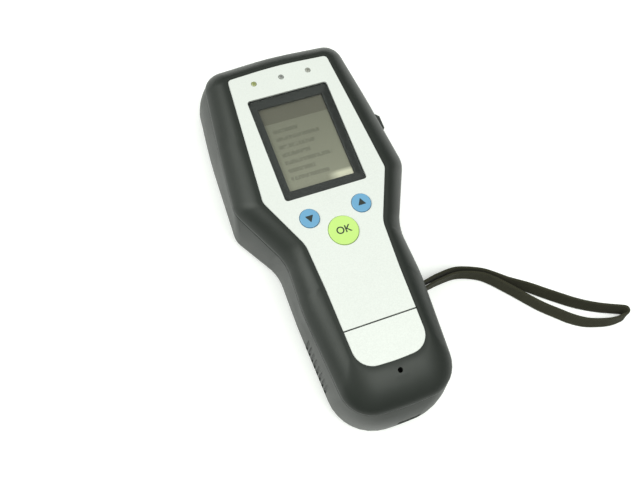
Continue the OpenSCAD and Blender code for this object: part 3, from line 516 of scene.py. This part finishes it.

# %% [markdown]
# The display is switched off for the portrait, but its rows still show as on any liquid crystal:
# faint darker lines of menu below a dark heading. Light and shade are painted on the sheet as
# well: it is painted darker towards the top and paler towards the bottom, with a painted pale
# glint in the lower right corner. An image could hold them, but the sheet's own coordinates do
# too: the fraction of a level gives the height within a row, and its whole part gives each row a
# length of its own.

# %% Display rows
glass = Finish("display_rows", Specular_IOR_Level=0.4, Roughness=0.3)
x, y, _ = glass.split(glass.place())
wide = (x - screen_middle.x) / screen_half.x
tall = (y - screen_middle.y) / screen_half.y
across, down = wide * 0.5 + 0.5, 0.5 - tall * 0.5
heading = tall > 0.6
rows_in_half, row_shift = 5.4, 0.3
level = tall * rows_in_half + row_shift
in_row = level.fraction()
row_end = 0.3 + 0.35 * (level.floor() * 2.4).sine()
ink = glass.streaks((1100, 400, 1), 1.0)
inside = (tall < 0.5) * (tall > -0.8) * (wide > -0.82) * (wide < row_end)
written = (in_row > 0.25) * (in_row < 0.72) * (ink > 0.4) * inside


def rising(wire, start, rate):
    return ((wire - start) * rate).most(0).least(1)


# painted highlight: a pale glint painted into the lower right corner of the sheet
painted_glint = rising(down, 0.885, 25) * rising(across, 0.62, 6)
# painted shade and light: the sheet's colour runs from a darker top to a paler bottom
shaded_top_grey, lit_low_grey = (0.158, 0.158, 0.122, 1), (0.52, 0.515, 0.4, 1)
painted_glint_grey = (0.78, 0.76, 0.6, 1)
ink_grey, heading_grey = (0.085, 0.084, 0.066, 1), (0.098, 0.088, 0.07, 1)
base = glass.mix(down * 0.33 + 0.1, shaded_top_grey, lit_low_grey)
base = glass.mix(painted_glint, base, painted_glint_grey)
inked = glass.mix(written * 0.38, base, ink_grey)
glass.feed(Base_Color=glass.mix(heading * 0.6, inked, heading_grey))
picture.data.materials.append(glass.material)
print("display rows on a sheet of", len(picture.data.polygons), "faces")

# %% [markdown]
# Over the display lies a black printed border and a clear window. The window is nearly invisible:
# it takes little more than a soft glint from the lights. Refraction would be nearer to glass, but
# a low alpha with a smooth skin gives that in the render.

# %% Window
mask_finish = moulded("black_border", (0.03, 0.033, 0.033), 0.35, depth=0.004)
rounded("display_mask", mask_finish, edge=0.05)
window_finish = Finish("clear_window", Alpha=0.1, Specular_IOR_Level=0.6)
smear = window_finish.noise(70, 4)
clean, smeared = (0.03, 0.032, 0.03, 1), (0.07, 0.075, 0.07, 1)
window_finish.feed(Roughness=0.06 + smear * 0.1,
                   Base_Color=window_finish.mix(smear, clean, smeared))
rounded("display_window", window_finish, edge=0.2)
print("window covers the display")

# %% [markdown]
# The three status lights are light pipes, short rods of tinted clear plastic that end level with
# the plate. Each one looks darkest in the middle, where one sees down the rod to the lamp, and
# paler at its rim. So small a rod needs no real glass: its tint and a painted shade follow the
# distance from its axis, with the shade painted darkest in the middle.

# %% Status lights
rim_radius = 1.1 * mm


def light_pipe(node, rim, shaded_core):
    made = Finish(node + "_tint_and_shade", Roughness=0.18, Coat_Weight=0.3)
    middle = top_middle(node)
    x, y, _ = made.split(made.place())
    dx, dy = x - middle.x, y - middle.y
    far = (dx * dx + dy * dy) * (1 / rim_radius ** 2)
    speck = made.noise(1500, 2)
    # painted shade: the colour darkens from the tinted rim towards the middle of the rod
    made.feed(Base_Color=made.mix(far.least(1) * 0.8 + speck * 0.2, shaded_core, rim))
    rounded(node, made, edge=0.08)


light_pipe("light_pipe_left", (0.42, 0.45, 0.22, 1), (0.16, 0.18, 0.05, 1))
light_pipe("light_pipe_middle", (0.36, 0.37, 0.35, 1), (0.12, 0.12, 0.12, 1))
light_pipe("light_pipe_right", (0.4, 0.4, 0.37, 1), (0.14, 0.14, 0.12, 1))
print("three status lights")

# %% [markdown]
# The small hardware follows: the catch that frees the mouthpiece, the screws that close the case,
# the strap's pin and the springs. Steel is a metal with fine lengthwise scratches, which are a
# noise stretched along one axis, and the black screws are the same surface under a dark finish.

# %% Hardware
def steel(name, colour, rough=0.3, metal=1.0):
    made = Finish(name, Metallic=metal)
    lines = made.streaks((4000, 4000, 300), 3.0)
    made.feed(Base_Color=made.mix(lines, shade(colour, 0.8), shade(colour, 1.1)),
              Roughness=rough - 0.1 + lines * 0.2)
    return made.bump(lines, 0.004 * mm, 0.4)


rounded("mouthpiece_catch", moulded("catch_plastic", (0.03, 0.032, 0.032), 0.5), edge=0.3)
rounded("case_screws", steel("black_screw", (0.09, 0.09, 0.095), 0.4, 0.8), edge=0.08)
steel_finish = steel("plain_steel", (0.56, 0.56, 0.57))
for node in ("strap_pin", "battery_springs", "battery_contacts"):
    painted(node, steel_finish)
rounded("board_screws", steel_finish, edge=0.06)
print("hardware is finished")

# %% [markdown]
# Inside lie the board and the cells, which show only when the door is off or the shells are
# parted. The board is green with pale tracks, and a brick pattern draws these without an image.
# The cells wear a dark jacket with a copper band, which is a share of their length.

# %% Board and cells
board_finish = Finish("circuit_board", Roughness=0.38)
board_finish.feed(Base_Color=board_finish.node("TexBrick", {
    "Vector": board_finish.place(), "Scale": 110.0, "Mortar Size": 0.05,
    "Color1": (0.012, 0.1, 0.035, 1), "Color2": (0.018, 0.13, 0.05, 1),
    "Mortar": (0.06, 0.26, 0.11, 1)}, offset=0.37))
painted("main_board", board_finish)

jacket = Finish("cell_jacket", Metallic=0.5)
_, y, _ = jacket.split(jacket.place())
low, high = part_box("battery_cells")
share = (y - low[1]) * (1 / (high[1] - low[1]))
band = (share > 0.7) * (share < 0.97)
scuff = jacket.noise(400, 3)
jacket.feed(Base_Color=jacket.mix(band, (0.03, 0.03, 0.033, 1), (0.5, 0.28, 0.1, 1)),
            Roughness=0.25 + scuff * 0.2)
painted("battery_cells", jacket)
print("cells are", round(1000 * (high[1] - low[1]), 1), "mm long")

# %% [markdown]
# The other inner pieces still get a finish of their own: silicone hoses, a rubber seal, black and
# grey plastic, pale lamps and a plated pump. They come from the two recipes above, moulded and
# steel, so one short table says which piece wears which.

# %% Inner pieces
silicone = moulded("silicone", (0.48, 0.48, 0.45), 0.6, depth=0.01)
rubber = moulded("black_rubber", (0.014, 0.014, 0.014), 0.75)
black_plastic = moulded("black_plastic", (0.022, 0.022, 0.024), 0.5)
grey_plastic = moulded("grey_plastic", (0.55, 0.55, 0.53), 0.45)
port_plastic = moulded("port_plastic", (0.11, 0.11, 0.12), 0.4)
lamp_plastic = moulded("lamp_plastic", (0.8, 0.75, 0.42), 0.3, depth=0.005)
pump_metal = steel("zinc_plate", (0.4, 0.41, 0.43), 0.45)
inner_pieces = (
    (silicone, ("breath_tube", "sample_tube")),
    (rubber, ("shell_gasket",)),
    (black_plastic, ("sounder", "data_socket", "pressure_sensor", "battery_tray")),
    (grey_plastic, ("sensor_module",)),
    (lamp_plastic, ("status_lamps",)),
    (pump_metal, ("sampling_pump",)))
for finish, names in inner_pieces:
    for node in names:
        painted(node, finish)
rounded("breath_port", port_plastic, edge=0.15)
print("inside pieces are finished")

# %% [markdown]
# Four pieces give way when something is pressed: a silicone dome under each key, and the spring
# behind the catch. Each one gets a rounded copy with a mesh of its own, and its height along the
# press is weighed against the joint's travel.

# %% Domes and spring
travel = {joint["name"]: joint["range_m"][1] for joint in frame["record"]["behaviour"]["joints"]}


def gives_way(node, finish, joint, axis, edge, angle):
    copy = rounded(node, finish, edge, angle)
    low, high = (Vector(corner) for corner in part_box(node))
    tall = (high - low).dot(Vector(axis))
    1 - travel[joint] / tall
    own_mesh(copy)
    height, stroke = (round(1000 * length, 2) for length in (tall, travel[joint]))
    print(node, "is", height, "mm tall and gives", stroke, "mm")


for way in ("down", "up", "ok"):
    gives_way("key_dome_" + way, silicone, "key_" + way + "_press", (0, 0, 1), 0.08, 32)
gives_way("catch_spring", steel_finish, "catch_press", (1, 0, 0), 0.02, 75)

# %% [markdown]
# The stage is a plain white table, wide enough to reach the horizon in low views. It glows a
# little for the camera and in reflections, so it reads as white while it still takes the shadow.
# A brighter lamp would whiten it as well, but would bleach the plate.

# %% Table
table_half, table_drop = 30.0, 0.0002
bm = bmesh.new()
bmesh.ops.create_grid(bm, x_segments=2, y_segments=2, size=table_half)
bmesh.ops.translate(bm, vec=(0, 0, -table_drop), verts=bm.verts)
mesh = bpy.data.meshes.new("table")
bm.to_mesh(mesh)
bm.free()
table = bpy.data.objects.new("table", mesh)
scene.collection.objects.link(table)
table_finish = Finish("white_table", Base_Color=(0.82, 0.82, 0.82, 1), Roughness=0.9,
                      Specular_IOR_Level=0.1, Emission_Strength=0.36)
camera_ray, mirror_ray, clear_ray = (table_finish.node("LightPath", out="Is " + kind + " Ray")
                                     for kind in ("Camera", "Glossy", "Transmission"))
seen = (camera_ray + mirror_ray + clear_ray).least(1)
table_finish.feed(Emission_Color=table_finish.mix(seen, (0, 0, 0, 1), (1, 1, 1, 1)))
table.data.materials.append(table_finish.material)
print("table is", 2 * table_half, "m wide")

# %% [markdown]
# The light is soft. A wide lamp on the left gives the shoulder its pale sheen, a second one above
# the tail lights the plate, and a sky that fades towards the horizon fills the rest. The camera
# itself sees a pale wall in place of the sky, so that no dark band stands above the table.

# %% Sky and lamps
world = bpy.data.worlds.new("studio")
world.use_nodes = True
sky_nodes, sky_links = world.node_tree.nodes, world.node_tree.links
sky = sky_nodes["Background"]
sky.inputs["Strength"].default_value = 0.75
look = sky_nodes.new("ShaderNodeTexCoord")
parts = sky_nodes.new("ShaderNodeSeparateXYZ")
ramp = sky_nodes.new("ShaderNodeValToRGB")
horizon, zenith = ramp.color_ramp.elements
horizon.position, horizon.color = 0.1, (0.115, 0.125, 0.115, 1)
zenith.position, zenith.color = 0.8, (1.01, 1.065, 0.985, 1)
ray = sky_nodes.new("ShaderNodeLightPath")
wall = sky_nodes.new("ShaderNodeMix")
wall.data_type = "RGBA"
wall.inputs[mix_second].default_value = (1.2, 1.22, 1.19, 1)
sky_links.new(look.outputs["Generated"], parts.inputs[0])
sky_links.new(parts.outputs["Z"], ramp.inputs[0])
sky_links.new(ray.outputs["Is Camera Ray"], wall.inputs[mix_share])
sky_links.new(ramp.outputs["Color"], wall.inputs[mix_first])
sky_links.new(wall.outputs[mix_result], sky.inputs["Color"])
scene.world = world
lamp_tint, lamp_aim = (0.95, 1.0, 0.93), Vector((0, 0, 0.02))


def soft_lamp(name, place, size, power):
    lamp = bpy.data.lights.new(name, "AREA")
    lamp.shape, lamp.size = "DISK", size
    lamp.energy, lamp.color = power, lamp_tint
    holder = bpy.data.objects.new(name, lamp)
    turn = (lamp_aim - Vector(place)).to_track_quat("-Z", "Y").to_matrix().to_4x4()
    holder.matrix_world = Matrix.Translation(place) @ turn
    scene.collection.objects.link(holder)


soft_lamp("left_lamp", (-1.0, 0.35, 0.7), 0.8, 9)
soft_lamp("top_lamp", (0.3, -0.5, 1.2), 0.9, 9)
scene.view_settings.view_transform = "Standard"
print("sky and two lamps are set")

# %% Close
print("the scene is dressed")
